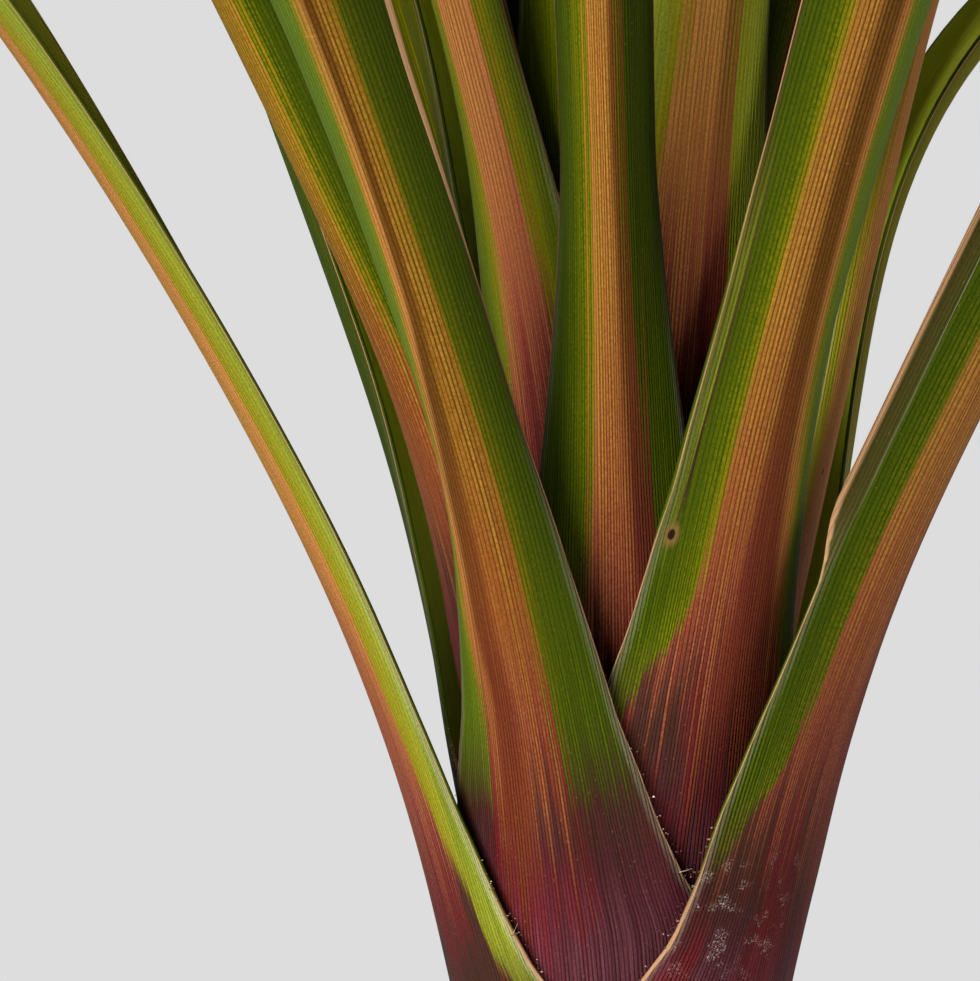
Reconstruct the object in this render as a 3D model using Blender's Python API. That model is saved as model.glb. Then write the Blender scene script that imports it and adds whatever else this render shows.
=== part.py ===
"""A potted cabbage tree: a clay pot, its soil, a short trunk and a crown of forty sword-shaped leaves.

Run with blender --background --python part.py, or from Blender's text editor.
Metres, +Z up. The origin is the centre of the pot's foot, on the surface that it stands on.
The side of -Y is the front. A leaf's azimuth is measured from there, positive towards +X.
"""

import math
import random
from collections import namedtuple

import bmesh
import bpy
import numpy as np
from mathutils import Vector

# Pot
POT_HEIGHT = 0.200
POT_FOOT_RADIUS = 0.078
POT_NECK_RADIUS = 0.104
POT_RIM_RADIUS = 0.116
POT_COLLAR_HEIGHT = 0.034
POT_WALL = 0.007
POT_FLOOR = 0.012
POT_SIDES = 40
DRAIN_RADIUS = 0.006
DRAIN_CIRCLE = 0.040
DRAIN_COUNT = 4

# Soil
SOIL_SURFACE = 0.178
SOIL_CROWN = 0.004
ROOT_DEPTH = 0.080

# Trunk
TRUNK_RADIUS = 0.0208
TRUNK_APEX_RADIUS = 0.0045
TRUNK_SIDES = 20
SCAR_PITCH = 0.0092
SCAR_DEPTH = 0.0009
SCAR_WIDTH = 0.0016

# Crown
LEAF_COUNT = 40
FIRST_LEAF_HEIGHT = 0.245
LEAF_SPACING = 0.0046
SPACING_LOSS = 0.000014
FIRST_AZIMUTH = -75.0
GOLDEN_ANGLE = 137.5
SHEATH_HALF_ANGLE = 67.0
SPEAR_HEIGHT = 0.40
SPEAR_SIDES = 10

# Leaf blade, in metres across the flattened leaf
BLADE_EDGE = 0.00065
KEEL_THICKNESS = 0.0019
TIP_WIDTH = 0.0020
LEAF_LENGTHS = ((1, 0.50), (11, 0.59), (21, 0.63), (31, 0.60), (40, 0.50))
LEAF_BREADTHS = ((1, 1.0), (23, 1.0), (40, 0.72))
SPINE_STEP = 0.004

# Where a leaf's cross-sections lie: shares of its half-width, and distances along it.
# Past the last distance they follow as shares of what is left of its length.
ACROSS = (-1.0, -2 / 3, -1 / 3, 0.0, 1 / 3, 2 / 3, 1.0)
NEAR_STATIONS = (0.0, 0.018, 0.032, 0.050, 0.075, 0.108, 0.165)
FAR_SHARES = (0.19, 0.37, 0.54, 0.70, 0.85, 1.0)

# Gap between pieces that touch
SEAT_GAP = 0.0003

# How single leaves differ from the rule, in degrees: turn round the stem, lean a hand's breadth up,
# arch beyond that, sideways drift, twist along the blade and a tighter fold. Broad is a share of the
# breadth. The front leaves are set by hand, and each of the rest draws a habit within these spreads.
Habit = namedtuple("Habit", "turn lean arch drift twist broad fold", defaults=(0, 0, 0, 0, 0, 1.0, 0))
HABITS = {
    1: Habit(turn=-4, lean=-1.5, arch=4, twist=-16, broad=1.05, fold=-24),
    2: Habit(lean=-0.5, broad=1.36, fold=-10),
    4: Habit(turn=-6.8, lean=4, arch=3, drift=-2, twist=9, fold=14),
    5: Habit(lean=-15, arch=46, broad=0.8, fold=-10),
    6: Habit(turn=-12, lean=-3.5, arch=-4, broad=0.9),
    7: Habit(turn=-2.4, lean=2.5, broad=1.06, fold=-18),
    9: Habit(turn=-3, lean=4, arch=-1),
    10: Habit(lean=-10.5, arch=6, broad=0.8),
    12: Habit(turn=-2.8, broad=0.86),
    17: Habit(turn=-2, lean=5.5, broad=0.8, fold=10),
    20: Habit(turn=2, drift=4, twist=-7, broad=1.2, fold=-20),
}
SPREADS = Habit(turn=4, lean=1.0, arch=3, drift=5, twist=14, broad=0.06, fold=8)

# Colours, linear, with roughness
CLAY = (0.36, 0.13, 0.062, 0.85)
EARTH = (0.022, 0.013, 0.008, 0.95)
BARK = (0.16, 0.10, 0.060, 0.80)
YOUNG_GREEN = (0.115, 0.150, 0.018, 0.45)
OLD_GREEN = (0.055, 0.085, 0.010, 0.42)
PALE_GREEN = (0.230, 0.300, 0.040, 0.45)
PINK_GREEN = (0.330, 0.140, 0.060, 0.45)
LEAF_COLOURS = {1: PALE_GREEN, 17: PINK_GREEN}


def clear_scene():
    for item in list(bpy.data.objects):
        bpy.data.objects.remove(item, do_unlink=True)


def principled(name, finish):
    """A plain material: finish is red, green, blue and roughness."""
    material = bpy.data.materials.new(name)
    material.use_nodes = True
    shader = material.node_tree.nodes["Principled BSDF"]
    shader.inputs["Base Color"].default_value = (*finish[:3], 1.0)
    shader.inputs["Roughness"].default_value = finish[3]
    shader.inputs["Metallic"].default_value = 0.0
    material.diffuse_color = (*finish[:3], 1.0)
    return material


def add_object(name, shape, material):
    """An object from a bmesh, shaded smooth between its sharp edges."""
    mesh = bpy.data.meshes.new(name)
    bmesh.ops.recalc_face_normals(shape, faces=shape.faces)
    shape.to_mesh(mesh)
    shape.free()
    mesh.shade_smooth()
    mesh.set_sharp_from_angle(angle=math.radians(40))
    mesh.materials.append(material)
    item = bpy.data.objects.new(name, mesh)
    bpy.context.scene.collection.objects.link(item)
    return item


def turned(profile, sides):
    """A solid of revolution about Z from (radius, height) points, whose ends lie on the axis."""
    shape = bmesh.new()
    loops = []
    for radius, height in profile:
        if radius == 0:
            loops.append([shape.verts.new((0, 0, height))])
            continue
        turns = [2 * math.pi * i / sides for i in range(sides)]
        loops.append([shape.verts.new((radius * math.cos(a), radius * math.sin(a), height)) for a in turns])
    for lower, upper in zip(loops, loops[1:]):
        for i in range(sides):
            j = (i + 1) % sides
            corners = [lower[i % len(lower)], lower[j % len(lower)], upper[j % len(upper)], upper[i % len(upper)]]
            shape.faces.new(list(dict.fromkeys(corners)))
    return shape


def curve_through(points, at):
    """A smooth curve that doesn't overshoot, through (place, value) points, read at one or more places."""
    place, value = np.array(points, float).T
    at = np.clip(np.asarray(at, float), place[0], place[-1])
    step = np.diff(place)
    slope = np.diff(value) / step
    tangent = np.concatenate([slope[:1], np.zeros(len(slope) - 1), slope[-1:]])
    for i in range(1, len(slope)):
        if slope[i - 1] * slope[i] > 0:
            tangent[i] = 2 / (1 / slope[i - 1] + 1 / slope[i])
    i = np.clip(np.searchsorted(place, at, side="right") - 1, 0, len(step) - 1)
    t = (at - place[i]) / step[i]
    ends = (1 + 2 * t) * (1 - t) ** 2 * value[i] + t * t * (3 - 2 * t) * value[i + 1]
    bends = t * (1 - t) ** 2 * tangent[i] + t * t * (t - 1) * tangent[i + 1]
    return ends + step[i] * bends


def rise(at, start, end):
    """0 before start, 1 after end, and smooth between."""
    share = np.clip((np.asarray(at, float) - start) / (end - start), 0, 1)
    return share * share * (3 - 2 * share)


def leaf_height(number):
    """Height at which a leaf leaves the trunk. Leaf 1 is the lowest, and the spacing shrinks upwards."""
    above = number - 1
    return FIRST_LEAF_HEIGHT + LEAF_SPACING * above - SPACING_LOSS * above**2


def trunk_radius(number):
    """The trunk's radius where a leaf leaves it."""
    share = (number - 1) / (LEAF_COUNT - 1)
    return TRUNK_RADIUS + (TRUNK_APEX_RADIUS - TRUNK_RADIUS) * share**1.1


def habit_of(number):
    """The habit set by hand, or one drawn with the leaf's number as its seed."""
    if number in HABITS:
        return HABITS[number]
    draw = random.Random(number)
    changes = {name: draw.uniform(-spread, spread) for name, spread in SPREADS._asdict().items()}
    changes["broad"] += 1.0
    return Habit(**changes)


class Leaf:
    """One leaf: a spine that leans out and arches over, and a channel section that opens along it."""

    def __init__(self, number):
        self.number = number
        self.habit = habit_of(number)
        self.length = float(curve_through(LEAF_LENGTHS, number))
        self.breadth = self.habit.broad * float(curve_through(LEAF_BREADTHS, number))
        self.azimuth = math.radians(FIRST_AZIMUTH + GOLDEN_ANGLE * (number - 1) + self.habit.turn)
        facet = math.radians(SHEATH_HALF_ANGLE) / (len(ACROSS) - 1)
        self.seat_radius = trunk_radius(number) / math.cos(facet) + SEAT_GAP

    def leans(self):
        """Degrees from upright along the spine. Older leaves lean further and droop at the tip."""
        above = self.number - 1
        at_seat = 12.0 - 0.10 * above
        in_sheath = at_seat + 1.0 - 0.02 * above
        at_neck = 28.0 - 0.55 * above + self.habit.lean
        past_neck = at_neck + 7.0 - 0.12 * above + self.habit.arch
        at_tip = 112.0 - 2.3 * above
        return (
            (0.0, at_seat),
            (0.03, in_sheath),
            (0.065, 0.5 * (in_sheath + at_neck)),
            (0.10, at_neck),
            (0.20, past_neck),
            (0.20 + 0.45 * (self.length - 0.20), past_neck + 0.38 * (at_tip - past_neck)),
            (self.length, at_tip),
        )

    def spine(self, at):
        """The keel's distance out, aside and up at distances along the leaf, with its lean and drift."""
        along = np.linspace(0, self.length, int(round(self.length / SPINE_STEP)) + 1)
        lean = np.radians(curve_through(self.leans(), along))
        drift = math.radians(self.habit.drift) * rise(along, 0.03, 0.20)
        step = np.diff(along)
        mid_lean = 0.5 * (lean[1:] + lean[:-1])
        mid_drift = 0.5 * (drift[1:] + drift[:-1])
        out = self.seat_radius + np.append(0, np.cumsum(step * np.sin(mid_lean) * np.cos(mid_drift)))
        aside = np.append(0, np.cumsum(step * np.sin(mid_lean) * np.sin(mid_drift)))
        up = leaf_height(self.number) + np.append(0, np.cumsum(step * np.cos(mid_lean)))
        return [np.interp(at, along, values) for values in (out, aside, up, lean, drift)]

    def half_angle(self, at):
        """Half the arc of the cross-section: a clasping sheath, a folded neck and a nearly flat blade."""
        rest = self.length - 0.15
        fold = self.habit.fold
        sheath = ((0.0, SHEATH_HALF_ANGLE), (0.020, 62), (0.030, 48), (0.042, 40), (0.065, 46 + 0.4 * fold))
        neck = ((0.105, 70 + fold), (0.15, 70 + fold))
        blade = ((0.15 + 0.22 * rest, 50 + 0.5 * fold), (0.15 + 0.55 * rest, 27), (self.length, 18))
        return np.radians(curve_through(sheath + neck + blade, at))

    def width(self, at, out):
        """Width of the flattened leaf. The sheath's follows its distance out from the trunk's axis."""
        rest = self.length - 0.15
        neck = ((0.0, 0.050), (0.03, 0.037), (0.057, 0.028), (0.08, 0.023), (0.105, 0.021), (0.15, 0.023))
        middle = ((0.15 + 0.2 * rest, 0.034), (0.15 + 0.4 * rest, 0.041), (0.15 + 0.6 * rest, 0.036))
        end = ((0.15 + 0.82 * rest, 0.018), (self.length, TIP_WIDTH))
        blade = curve_through(neck + middle + end, at) * self.breadth
        sheath = 2 * self.half_angle(at) * out
        share = rise(at, 0.018, 0.055)
        return sheath * (1 - share) + blade * share

    def thickness(self, at, across):
        """Thickest at the keel. Young leaves are thinner."""
        rest = self.length - 0.15
        keel = ((0.0, 1.0), (0.06, 1.0), (0.15, 0.90), (0.15 + 0.5 * rest, 0.53), (self.length, 0.34))
        youth = 1.0 - 0.45 * (self.number - 1) / LEAF_COUNT
        extra = (curve_through(keel, at) * KEEL_THICKNESS - BLADE_EDGE) * youth
        return BLADE_EDGE + extra * (1 - abs(across)) ** 1.6

    def faces(self, at, across):
        """Points of the inner and the outer face, each as rows along the leaf of points across it."""
        out, aside, up, lean, drift = (values[:, None] for values in self.spine(at))
        radial = np.array([math.sin(self.azimuth), -math.cos(self.azimuth), 0.0])
        sideways = np.array([math.cos(self.azimuth), math.sin(self.azimuth), 0.0])
        upright = np.array([0.0, 0.0, 1.0])
        keel = out * radial + aside * sideways + up * upright
        heading = np.cos(drift) * radial + np.sin(drift) * sideways
        right = np.cos(drift) * sideways - np.sin(drift) * radial
        tilt = lean * rise(at, 0.0, 0.06)[:, None]
        inward = np.sin(tilt) * upright - np.cos(tilt) * heading
        twist = math.radians(self.habit.twist) * rise(at, 0.04, 0.25)[:, None]
        right, inward = (
            np.cos(twist) * right + np.sin(twist) * inward,
            np.cos(twist) * inward - np.sin(twist) * right,
        )
        half = self.half_angle(at)[:, None]
        bend = self.width(at, out[:, 0])[:, None] / (2 * half)
        inner, outer = [], []
        for share in across:
            angle = share * half
            point = keel + bend * (np.sin(angle) * right + (1 - np.cos(angle)) * inward)
            outwards = np.sin(angle) * right - np.cos(angle) * inward
            inner.append(point)
            outer.append(point + self.thickness(at, share)[:, None] * outwards)
        return np.stack(inner, axis=1), np.stack(outer, axis=1)


def leaf_shape(leaf):
    """The closed blade. Its outer and inner faces are split into triangles alike, so they never cross."""
    rest = leaf.length - NEAR_STATIONS[-1]
    at = np.array(NEAR_STATIONS + tuple(NEAR_STATIONS[-1] + share * rest for share in FAR_SHARES))
    inner, outer = leaf.faces(at, ACROSS)
    count = len(ACROSS)
    shape = bmesh.new()
    rings = [[shape.verts.new(p) for p in [*front, *back[::-1]]] for front, back in zip(outer, inner)]
    for lower, upper in zip(rings, rings[1:]):
        for j in range(2 * count):
            a, b = lower[j], lower[(j + 1) % (2 * count)]
            c, d = upper[(j + 1) % (2 * count)], upper[j]
            left = j % count < count // 2
            for corners in ((a, b, c), (a, c, d)) if left else ((a, b, d), (b, c, d)):
                shape.faces.new(corners)
    for ring in (rings[0], rings[-1]):
        for j in range(count - 1):
            shape.faces.new((ring[j], ring[j + 1], ring[-2 - j], ring[-1 - j]))
    return shape


def add_leaves():
    for number in range(1, LEAF_COUNT + 1):
        young = (number - 1) / (LEAF_COUNT - 1)
        plain = [old + (new - old) * young for old, new in zip(OLD_GREEN, YOUNG_GREEN)]
        material = principled(f"leaf {number:02d}", LEAF_COLOURS.get(number, plain))
        add_object(f"leaf_{number:02d}", leaf_shape(Leaf(number)), material)


def pot_inner_radius(height):
    """Radius of the inner wall, which runs straight from the floor to the rim."""
    share = (height - POT_FLOOR) / (POT_HEIGHT - POT_FLOOR)
    low = POT_FOOT_RADIUS - 0.5 * POT_WALL
    high = POT_RIM_RADIUS - 1.4 * POT_WALL
    return low + (high - low) * share


def add_pot():
    collar = POT_HEIGHT - POT_COLLAR_HEIGHT
    lip = POT_RIM_RADIUS
    profile = (
        (0, 0),
        (POT_FOOT_RADIUS - 0.002, 0),
        (POT_FOOT_RADIUS, 0.002),
        (POT_NECK_RADIUS, collar),
        (lip - 0.004, collar),
        (lip - 0.002, collar + 0.002),
        (lip, POT_HEIGHT - 0.004),
        (lip - 0.002, POT_HEIGHT - 0.001),
        (lip - 0.005, POT_HEIGHT),
        (pot_inner_radius(POT_HEIGHT) + 0.001, POT_HEIGHT - 0.001),
        (pot_inner_radius(POT_HEIGHT - 0.005), POT_HEIGHT - 0.005),
        (pot_inner_radius(POT_FLOOR), POT_FLOOR),
        (0, POT_FLOOR),
    )
    pot = add_object("pot", turned(profile, POT_SIDES), principled("clay", CLAY))
    for i in range(DRAIN_COUNT):
        turn = 2 * math.pi * (i + 0.5) / DRAIN_COUNT
        centre = (DRAIN_CIRCLE * math.cos(turn), DRAIN_CIRCLE * math.sin(turn))
        cut(pot, f"drain cutter {i + 1}", DRAIN_RADIUS, centre, -POT_FLOOR, 2 * POT_FLOOR, 16)


def cut(item, name, radius, centre, bottom, top, sides):
    """Cuts a round hole with its axis along Z, by a Boolean whose cutter isn't rendered."""
    shape = turned(((0, bottom), (radius, bottom), (radius, top), (0, top)), sides)
    bmesh.ops.translate(shape, verts=shape.verts, vec=Vector((*centre, 0)))
    cutter = add_object(name, shape, item.data.materials[0])
    cutter.hide_render = True
    cutter.display_type = "WIRE"
    hole = item.modifiers.new(name, "BOOLEAN")
    hole.operation = "DIFFERENCE"
    hole.solver = "EXACT"
    hole.object = cutter


def add_soil():
    """Fills the pot to a little below its rim, with a plain hole for the trunk."""
    bottom = POT_FLOOR + SEAT_GAP
    profile = (
        (0, bottom),
        (pot_inner_radius(bottom) - SEAT_GAP, bottom),
        (pot_inner_radius(SOIL_SURFACE) - SEAT_GAP, SOIL_SURFACE),
        (0.6 * POT_RIM_RADIUS, SOIL_SURFACE + 0.6 * SOIL_CROWN),
        (0.3 * POT_RIM_RADIUS, SOIL_SURFACE + SOIL_CROWN),
        (0, SOIL_SURFACE + SOIL_CROWN),
    )
    soil = add_object("soil", turned(profile, POT_SIDES), principled("soil", EARTH))
    floor = SOIL_SURFACE - ROOT_DEPTH
    cut(soil, "trunk hole cutter", TRUNK_RADIUS + SEAT_GAP, (0, 0), floor, POT_HEIGHT, TRUNK_SIDES)


def add_trunk():
    """Bare above the soil, with a groove for each fallen leaf, and tapering where the crown hides it."""
    foot = SOIL_SURFACE - ROOT_DEPTH + SEAT_GAP
    profile = [(0, foot), (TRUNK_RADIUS, foot)]
    first_scar = SOIL_SURFACE + 2 * SOIL_CROWN
    for i in range(int((FIRST_LEAF_HEIGHT - first_scar) / SCAR_PITCH)):
        scar = first_scar + i * SCAR_PITCH
        profile.append((TRUNK_RADIUS, scar))
        profile.append((TRUNK_RADIUS - SCAR_DEPTH, scar + SCAR_WIDTH))
        profile.append((TRUNK_RADIUS, scar + 2 * SCAR_WIDTH))
    for number in (1, 8, 16, 24, 32, LEAF_COUNT):
        profile.append((trunk_radius(number), leaf_height(number)))
    profile.append((TRUNK_APEX_RADIUS, trunk_top()))
    profile.append((0, trunk_top()))
    add_object("trunk", turned(profile, TRUNK_SIDES), principled("bark", BARK))


def trunk_top():
    return leaf_height(LEAF_COUNT) + 0.004


def add_spear():
    """The youngest leaves, still rolled into one point at the crown's centre."""
    foot = trunk_top() + SEAT_GAP
    radii = ((0.0, 0.0040), (0.08, 0.0046), (0.30, 0.0040), (0.65, 0.0026), (1.0, 0.0006))
    rings = [(radius, foot + share * SPEAR_HEIGHT) for share, radius in radii]
    profile = [(0, foot), *rings, (0, foot + SPEAR_HEIGHT)]
    add_object("spear", turned(profile, SPEAR_SIDES), principled("spear", YOUNG_GREEN))


clear_scene()
add_pot()
add_soil()
add_trunk()
add_leaves()
add_spear()
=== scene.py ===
"""The looks of a potted cabbage tree: its leaves, spear, trunk, soil and clay pot, on a plain pale stage."""

import math
import random
from collections import namedtuple

import bpy
import numpy as np
from bpy.props import FloatProperty, FloatVectorProperty, IntProperty, PointerProperty
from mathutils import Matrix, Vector, noise


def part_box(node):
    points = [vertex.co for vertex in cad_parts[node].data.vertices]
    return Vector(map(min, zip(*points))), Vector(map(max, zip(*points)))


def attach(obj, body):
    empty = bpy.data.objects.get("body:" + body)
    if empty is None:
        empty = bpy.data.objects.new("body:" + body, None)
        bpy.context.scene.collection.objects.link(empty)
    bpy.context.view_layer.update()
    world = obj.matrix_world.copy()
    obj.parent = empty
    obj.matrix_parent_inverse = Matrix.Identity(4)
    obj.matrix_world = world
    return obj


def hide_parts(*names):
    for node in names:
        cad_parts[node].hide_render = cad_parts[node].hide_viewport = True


bl_info = {
    "name": "Potted Cabbage Tree",
    "version": (1, 0, 0),
    "blender": (4, 5, 0),
    "location": "3D View > Sidebar > Cabbage Tree",
    "description": "Models a cabbage tree in a clay pot, with sword-shaped leaves in a spiral",
    "category": "Add Mesh",
}

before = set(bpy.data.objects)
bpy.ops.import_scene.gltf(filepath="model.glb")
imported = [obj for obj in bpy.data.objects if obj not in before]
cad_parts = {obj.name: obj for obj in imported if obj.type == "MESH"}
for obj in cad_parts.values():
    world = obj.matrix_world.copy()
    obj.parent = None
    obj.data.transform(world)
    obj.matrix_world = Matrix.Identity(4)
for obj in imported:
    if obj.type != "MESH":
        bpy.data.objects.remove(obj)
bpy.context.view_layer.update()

BODY = "root"
MM = 0.001
LEAF_NODES = sorted(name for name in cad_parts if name.startswith("leaf_"))


def box_of(node):
    """Lowest and highest corners of a CAD node."""
    low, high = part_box(node)
    return Vector(low), Vector(high)


def linear(*srgb):
    """A scene-linear colour from red, green and blue out of 255."""
    return tuple((c / 255 / 12.92) if c <= 10 else ((c / 255 + 0.055) / 1.055) ** 2.4 for c in srgb)


def size_property(name, description, default):
    return FloatProperty(name=name, description=description, default=default, unit="LENGTH", min=0.0)


def colour_property(key, description, *srgb):
    name = key.replace("_", " ").title()
    return FloatVectorProperty(
        name=name, description=description, default=linear(*srgb), subtype="COLOR", min=0.0, max=1.0
    )


# Leaf rule. A leaf's number counts from the lowest, and its distances run from the trunk to the tip.

LEAF_COUNT = len(LEAF_NODES)
FIRST_AZIMUTH = -75.0
GOLDEN_ANGLE = 137.5
SHEATH_HALF_ANGLE = 67.0
SHEATH_FACETS = 6
TRUNK_APEX_RADIUS = 4.5 * MM
SEAT_GAP = 0.3 * MM
BLADE_EDGE = 0.65 * MM
KEEL_THICKNESS = 1.9 * MM
TIP_WIDTH = 2.0 * MM
LEAF_LENGTHS = ((1, 0.50), (11, 0.59), (21, 0.63), (31, 0.60), (40, 0.50))
LEAF_BREADTHS = ((1, 1.0), (23, 1.0), (40, 0.72))
SPINE_STEP = 4 * MM
MEAN_WIDTH = 26 * MM
NECK_END = 0.15
TINT_SEED = 1000
MARK_SEED = 2000

# How single leaves differ from the rule, in degrees: turn round the stem, lean a hand's breadth up,
# arch beyond that, sideways drift, twist along the blade and a tighter fold. Broad is a share of the
# breadth. The front leaves are listed, and each of the rest draws a habit within these spreads.
Habit = namedtuple("Habit", "turn lean arch drift twist broad fold", defaults=(0, 0, 0, 0, 0, 1.0, 0))
HABITS = {
    1: Habit(turn=-4, lean=-1.5, arch=4, twist=-16, broad=1.05, fold=-24),
    2: Habit(lean=-0.5, broad=1.36, fold=-10),
    4: Habit(turn=-6.8, lean=4, arch=3, drift=-2, twist=9, fold=14),
    5: Habit(lean=-15, arch=46, broad=0.8, fold=-10),
    6: Habit(turn=-12, lean=-3.5, arch=-4, broad=0.9),
    7: Habit(turn=-2.4, lean=2.5, broad=1.06, fold=-18),
    9: Habit(turn=-3, lean=4, arch=-1),
    10: Habit(lean=-10.5, arch=6, broad=0.8),
    12: Habit(turn=-2.8, broad=0.86),
    17: Habit(turn=-2, lean=5.5, broad=0.8, fold=10),
    20: Habit(turn=2, drift=4, twist=-7, broad=1.2, fold=-20),
}
SPREADS = Habit(turn=4, lean=1.0, arch=3, drift=5, twist=14, broad=0.06, fold=8)

# How a leaf's colour differs. Flush is how far up the leaf the sheath's maroon ends on the flanks, and
# climb how much further up it ends on the midrib, in millimetres. Left and right are the places of the
# midrib's edges, as shares of the half-width: one number, or (millimetres along, share) points. Core is
# the place of the midrib's dark middle, where -1 and 1 are its edges. Pink, pale, dusty and dusk are
# shares, and dusk is painted shade that darkens the right side. Pink below 0 is golden and pale below 0
# is olive. Inside is painted light that lightens the inner face, and light is painted light that
# multiplies the outer one. Bloom is how strong a flank's painted blue-green sheen is and how rosy the
# midrib's edge, and its sign is their side. Edge is the right margin's pale width in millimetres.
PALE_EDGE = 0.24
Tint = namedtuple(
    "Tint",
    "flush climb left right core pink pale dusty bloom inside light dusk edge",
    defaults=(43, 6, 0.34, 0.34, 0.0, 0.1, 0.2, 0.08, 0.0, 0.0, 1.0, 0.0, PALE_EDGE),
)
TINTS = {
    1: Tint(
        flush=22, climb=30, left=0.5, right=((30, 0.78), (47, 0.68), (68, 0.62), (104, 0.61), (165, 0.64)),
        core=-1.5, pink=0.45, pale=1.0, bloom=0.5,
    ),
    2: Tint(
        flush=41, climb=14, left=((40, 0.90), (48, 0.75), (60, 0.58), (100, 0.52)), right=1.0,
        core=0.4, pink=0.35, pale=0.0, dusty=1.0,
    ),
    3: Tint(inside=0.3),
    4: Tint(
        flush=42, climb=5, right=((100, 0.36), (130, 0.28)),
        left=((45, 0.42), (57, 0.50), (72, 0.68), (88, 0.66), (105, 0.45), (125, 0.20), (150, 0.10)),
        core=-0.40, pink=0.0, pale=0.12, bloom=-1.0, dusk=0.25, edge=1.4,
    ),
    5: Tint(flush=30, left=0.3, right=0.2, pink=0.0, pale=-0.8, inside=0.9),
    6: Tint(flush=20, left=0.1, right=0.1, pale=0.0, inside=1.0, light=1.2),
    7: Tint(
        flush=38, climb=14, left=((34, 0.95), (41, 0.80), (50, 0.62), (60, 0.44), (72, 0.40)),
        right=((75, 0.70), (100, 0.58), (130, 0.44), (175, 0.36)),
        core=0.3, pink=0.2, pale=0.1, dusty=0.06, bloom=1.0,
    ),
    9: Tint(
        flush=34, climb=28, left=0.8, right=((60, 0.45), (82, 0.40), (98, 0.30), (112, 0.22), (140, 0.30)),
        core=-1.3, pink=-0.4, pale=0.0,
    ),
    10: Tint(flush=14, left=((91, 0.66), (128, 0.56)), right=0.4, core=-2.0, pink=1.0, pale=0.7, light=1.35),
    11: Tint(flush=30, left=0.1, right=0.1, pale=-1.0, inside=0.05, light=1.3),
    12: Tint(
        flush=34, climb=2, left=((62, 0.28), (112, 0.33)), right=((62, 0.46), (85, 0.40), (112, 0.33)),
        core=0.7, pink=0.25, pale=0.1, bloom=-0.35, light=1.12, dusk=0.5,
    ),
    17: Tint(
        flush=34, climb=4, left=((45, 0.30), (98, 0.34)), right=0.48,
        core=1.3, pink=1.0, pale=0.35, bloom=-0.6, light=1.2,
    ),
    19: Tint(flush=30, left=0.1, right=0.1, pale=-0.5, inside=1.6, light=1.9),
    20: Tint(
        flush=16, climb=14, left=((60, 0.42), (83, 0.28)), right=0.45,
        core=0.8, pink=0.7, pale=0.9, bloom=-0.4, light=1.6, dusk=0.3,
    ),
    25: Tint(flush=30, left=0.2, pale=-0.3, light=2.4),
    30: Tint(flush=24, left=0.2, pale=-0.3, light=2.6),
}
TINT_LIMITS = {
    "flush": (36, 46), "climb": (0, 14), "left": (0.28, 0.42), "right": (0.28, 0.42),
    "core": (-0.5, 0.5), "pink": (0.0, 0.6), "pale": (0.0, 0.5), "bloom": (-1.0, 1.0),
}

# Folded margins. Each starts and ends along the leaf and lies beyond a share of the half-width, on the
# left (-1) or right (1). It is wider than the plain margin by extra and turned inwards by some degrees.
Hem = namedtuple("Hem", "side start end share extra turn")
HEMS = {
    2: Hem(side=-1, start=0.082, end=0.23, share=0.95, extra=3.6 * MM, turn=52),
    7: Hem(side=-1, start=0.060, end=0.135, share=0.83, extra=0.4 * MM, turn=-46),
}

# Pits eaten into the outer face and short scars across it: share of the half-width, millimetres along
# the leaf and radius in millimetres.
PITS = {7: (-0.85, 68.0, 0.5), 17: (0.25, 175.0, 0.3)}
SCARS = {4: (-0.1, 166.0, 1.1), 7: (0.1, 128.0, 0.5)}


def curve_through(points, at):
    """A smooth curve that doesn't overshoot, through (place, value) points, read at one or more places."""
    place, value = np.array(points, float).T
    at = np.clip(np.asarray(at, float), place[0], place[-1])
    step = np.diff(place)
    slope = np.diff(value) / step
    tangent = np.concatenate([slope[:1], np.zeros(len(slope) - 1), slope[-1:]])
    for i in range(1, len(slope)):
        if slope[i - 1] * slope[i] > 0:
            tangent[i] = 2 / (1 / slope[i - 1] + 1 / slope[i])
    i = np.clip(np.searchsorted(place, at, side="right") - 1, 0, len(step) - 1)
    t = (at - place[i]) / step[i]
    ends = (1 + 2 * t) * (1 - t) ** 2 * value[i] + t * t * (3 - 2 * t) * value[i + 1]
    bends = t * (1 - t) ** 2 * tangent[i] + t * t * (t - 1) * tangent[i + 1]
    return ends + step[i] * bends


def rise(at, start, end):
    """0 before start, 1 after end, and smooth between."""
    share = np.clip((np.asarray(at, float) - start) / (end - start), 0, 1)
    return share * share * (3 - 2 * share)


def habit_of(number):
    """The listed habit, or one drawn with the leaf's number as its seed."""
    if number in HABITS:
        return HABITS[number]
    draw = random.Random(number)
    changes = {name: draw.uniform(-spread, spread) for name, spread in SPREADS._asdict().items()}
    changes["broad"] += 1.0
    return Habit(**changes)


def trunk_taper(number, radius):
    """The trunk's radius where a leaf is seated."""
    share = (number - 1) / (LEAF_COUNT - 1)
    return radius + (TRUNK_APEX_RADIUS - radius) * share**1.1


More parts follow.
